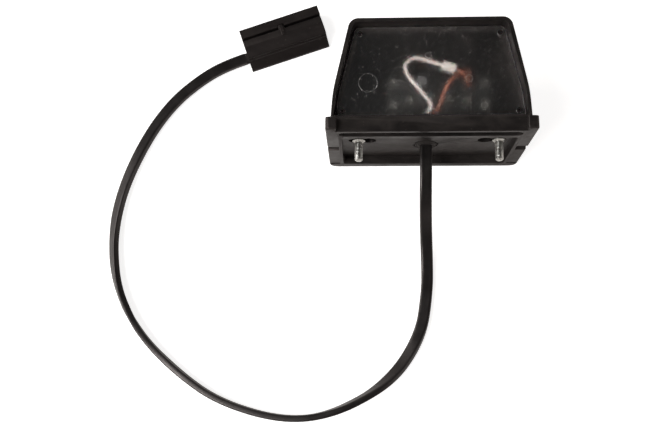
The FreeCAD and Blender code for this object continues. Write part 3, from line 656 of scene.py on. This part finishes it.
def studTree(sizes):
    tree, given, made = newGeometryTree("threadedStud", sizes)
    turns = maths(tree, "DIVIDE", given["Thread Length"], given["Pitch"])
    helix = put(tree, "GeometryNodeCurveSpiral",
                {"Resolution": studs["turnSteps"], "Rotations": turns,
                 "Start Radius": given["Crest Line"], "End Radius": given["Crest Line"],
                 "Height": given["Thread Length"]})
    ridge = put(tree, "GeometryNodeCurvePrimitiveCircle",
                {"Resolution": 6, "Radius": given["Crest"]}, mode="RADIUS")
    thread = put(tree, "GeometryNodeCurveToMesh",
                 {0: helix.outputs[0], 1: ridge.outputs[0], "Fill Caps": True})
    thread = lifted(tree, thread, given["Thread Start"])
    core = put(tree, "GeometryNodeMeshCylinder",
               {"Vertices": 40, "Radius": given["Core Radius"], "Depth": given["Core Length"]})
    half = maths(tree, "MULTIPLY", given["Core Length"], 0.5)
    core = lifted(tree, core, half)
    point = put(tree, "GeometryNodeMeshCone",
                {"Vertices": 40, "Side Segments": 3, "Radius Top": given["Point Radius"],
                 "Radius Bottom": given["Core Radius"], "Depth": given["Point Length"]})
    point = lifted(tree, point, given["Core Length"])
    head = put(tree, "GeometryNodeMeshCylinder",
               {"Vertices": 6, "Radius": given["Head Radius"], "Depth": given["Head Thickness"]})
    back = maths(tree, "MULTIPLY", given["Head Thickness"], -0.5)
    head = lifted(tree, head, back)
    whole = join(tree, thread.outputs[0], core.outputs[0], point.outputs[0], head.outputs[0])
    laid = put(tree, "GeometryNodeTransform", {0: whole, "Rotation": (math.radians(90), 0.0, 0.0)})
    finishTree(tree, laid.outputs[0], zincPlate, given["Place"], made)
    return tree


def studSizes(node):
    low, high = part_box(node)
    underHead = high.y - studs["head"]
    length = underHead - low.y
    middle = (low + high) / 2
    return [("Place", (middle.x, underHead, middle.z)), ("Thread Length", length - 2.2 * mm),
            ("Thread Start", 1.4 * mm), ("Pitch", studs["pitch"]),
            ("Crest Line", studs["shank"] - studs["crest"]), ("Crest", studs["crest"]),
            ("Core Radius", studs["core"]), ("Core Length", length - studs["point"]),
            ("Point Length", studs["point"]), ("Point Radius", studs["pointRadius"]),
            ("Head Radius", studs["flats"] / math.sqrt(3)), ("Head Thickness", studs["head"])]


studShape = studTree(studSizes("stud_left"))
for side in ("left", "right"):
    node = "stud_" + side
    studPiece = runTree(side + "Stud", studShape, studSizes(node), zincPlate)
    studPiece.data.shade_smooth()
    studPiece.data.set_sharp_from_angle(angle=math.radians(40))
    dress(studPiece, side + "_stud", zincPlate, [node])
print("studs threaded")

# Turned pieces: washers, the cable grommet, and plain rings raised on the lens

turned = {
    "steps": 72,
    "washer": [(2.3, 0.95), (2.9, 1.0), (4.0, 0.25), (4.0, 0.0), (2.9, 0.6), (2.3, 0.55)],
    "grommet": [(0.0, 0.8), (4.7, 0.8), (5.1, 0.35), (6.3, 0.35), (6.8, 0.05), (6.8, -0.9),
                (6.2, -1.0), (6.2, -2.5), (7.2, -2.5), (5.4, -4.1), (0.0, -4.1)],
    "mark": [(-0.22, 0.0), (-0.1, 0.12), (0.1, 0.12), (0.22, 0.0)],
}


def lathe(name, profile, place, tilt):
    # the profile holds radius and height in millimetres, the height along the turned axis
    shape = bmesh.new()
    rings = []
    for step in range(turned["steps"]):
        angle = 2 * math.pi * step / turned["steps"]
        rings.append([shape.verts.new((r * mm * math.cos(angle), r * mm * math.sin(angle), h * mm))
                      for r, h in profile])
    for step, ring in enumerate(rings):
        after = rings[(step + 1) % len(rings)]
        for i in range(len(profile)):
            j = (i + 1) % len(profile)
            shape.faces.new((ring[i], after[i], after[j], ring[j]))
    bmesh.ops.remove_doubles(shape, verts=shape.verts, dist=0.001 * mm)
    bmesh.ops.recalc_face_normals(shape, faces=shape.faces)
    mesh = bpy.data.meshes.new(name)
    shape.to_mesh(mesh)
    shape.free()
    mesh.transform(Matrix.Translation(place) @ Matrix.Rotation(tilt, 4, "X"))
    mesh.shade_smooth()
    mesh.set_sharp_from_angle(angle=math.radians(35))
    return addObject(name, mesh)


for side in ("left", "right"):
    node = "washer_" + side
    low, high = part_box(node)
    seat = Vector(((low.x + high.x) / 2, high.y, (low.z + high.z) / 2))
    washer = lathe(side + "Washer", turned["washer"], seat, math.radians(90))
    dress(washer, side + "_stud", zincPlate, [node])

recessFloor = -23.9 * mm
outletHeight = lead["route"][0][2]
grommet = lathe("cableGrommet", turned["grommet"], (0.0, recessFloor, outletHeight), math.radians(90))
dress(grommet, "root", blackRubber, ["cable_grommet"])

# across, forward and radius, in millimetres
lensMarks = {
    "ringMark": (-36.0, 1.4, 5.4), "smallMark": (-1.0, 17.0, 1.7), "pairMark": (22.5, 3.4, 2.0),
}
for name, (x, y, radius) in lensMarks.items():
    climb = (y * mm - lensFace["startY"]) * math.tan(lensFace["tilt"])
    profile = [(radius + r, h) for r, h in turned["mark"]]
    mark = lathe(name, profile, (x * mm, y * mm, lensFace["startZ"] + climb), lensFace["tilt"])
    dress(mark, "root", lensMaterial)
print("turned pieces done")

# Connector mouldings

for node, name, body in (("connector_body", "connectorShell", "root"),
                         ("connector_lid", "connectorCover", "lid")):
    shell = roundedEdges(mergedCopy(node, name, moulding["flat"]), moulding["fineEdge"])
    dress(shell, body, connectorPlastic, [node])
print("connector done")

# Finishes for the nodes that the frame shapes well enough

finishes = {
    "black_plastic": blackPlastic, "smoked_lens": lensMaterial, "black_rubber": blackRubber,
    "zinc_steel": zincPlate, "cable_sheath": blackRubber, "white_insulation": whiteCover,
    "red_brown_insulation": redCover, "white_nylon": whiteNylon, "board_laminate": laminate,
    "led_package": ledEpoxy, "chip_ceramic": chipCeramic, "capacitor_can": canMetal,
    "connector_plastic": connectorPlastic, "contact_brass": brass,
}
for row in frame["record"]["subparts"]:
    nodeObject = frame["nodes"][row["node"]]
    if not nodeObject.hide_render:
        nodeObject.data.materials.clear()
        nodeObject.data.materials.append(finishes[row["material_slot"]])
print("frame nodes finished")

# The lead belongs to the lamp at one end and the connector at the other
dress(leadPiece, "root", leadMaterial, ["flat_cable"])

# Floor and light

studio = {
    "floor": (0.7, 0.68, 0.66), "warm": (1.0, 0.93, 0.89), "glow": 0.2, "shownGlow": 0.6,
    "size": 6.0, "horizon": 0.85, "zenith": 0.05, "fall": 2.0,
}


# name, place, width of the disc in metres, watts
lamps = [
    ("frontLeft", (-0.75, -0.5, 1.15), 0.7, 13.0),
    ("left", (-1.3, 0.1, 0.7), 0.7, 10.0),
    ("right", (1.1, -0.3, 0.5), 0.7, 1.5),
    ("back", (-0.1, 1.4, 0.4), 0.8, 2.0),
]


def addFloor():
    shape = bmesh.new()
    bmesh.ops.create_grid(shape, x_segments=1, y_segments=1, size=studio["size"] / 2)
    mesh = bpy.data.meshes.new("floor")
    shape.to_mesh(mesh)
    shape.free()
    mesh.transform(Matrix.Translation((0, 0, -0.05 * mm)))
    material, tree, shader, place = startMaterial("paleFloor")
    shader.inputs["Base Color"].default_value = (*studio["floor"], 1.0)
    shader.inputs["Roughness"].default_value = 0.7
    seen = put(tree, "ShaderNodeLightPath").outputs["Is Camera Ray"]
    tree.links.new(tint(tree, seen, studio["warm"], (1.0, 1.0, 1.0)), shader.inputs["Emission Color"])
    shown = maths(tree, "MULTIPLY", seen, studio["shownGlow"])
    tree.links.new(maths(tree, "ADD", shown, studio["glow"]), shader.inputs["Emission Strength"])
    floor = addObject("floor", mesh)
    mesh.materials.append(material)
    floor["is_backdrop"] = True


def addLamp(name, place, size, power, aim=(0.0, 0.0, 0.03)):
    data = bpy.data.lights.new(name, "AREA")
    data.shape = "DISK"
    data.size = size
    data.energy = power
    lamp = bpy.data.objects.new(name, data)
    lamp.location = place
    lamp.rotation_euler = (Vector(aim) - Vector(place)).to_track_quat("-Z", "Y").to_euler()
    scene.collection.objects.link(lamp)


def addWorld():
    # pale walls all round, dark overhead
    world = bpy.data.worlds.new("studio")
    scene.world = world
    world.use_nodes = True
    tree = world.node_tree
    sky = put(tree, "ShaderNodeTexCoord").outputs["Generated"]
    height = put(tree, "ShaderNodeSeparateXYZ", {0: sky}).outputs[2]
    low = maths(tree, "SUBTRACT", 1.0, maths(tree, "ABSOLUTE", height))
    fall = maths(tree, "POWER", low, studio["fall"])
    level = spread(tree, fall, 0.0, 1.0, studio["zenith"], studio["horizon"])
    background = tree.nodes["Background"]
    background.inputs[0].default_value = (*studio["warm"], 1.0)
    tree.links.new(level, background.inputs[1])


addFloor()
addWorld()
for name, place, size, power in lamps:
    addLamp(name, place, size, power)
scene.view_settings.view_transform = "Standard"
print("studio set")

low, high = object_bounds()
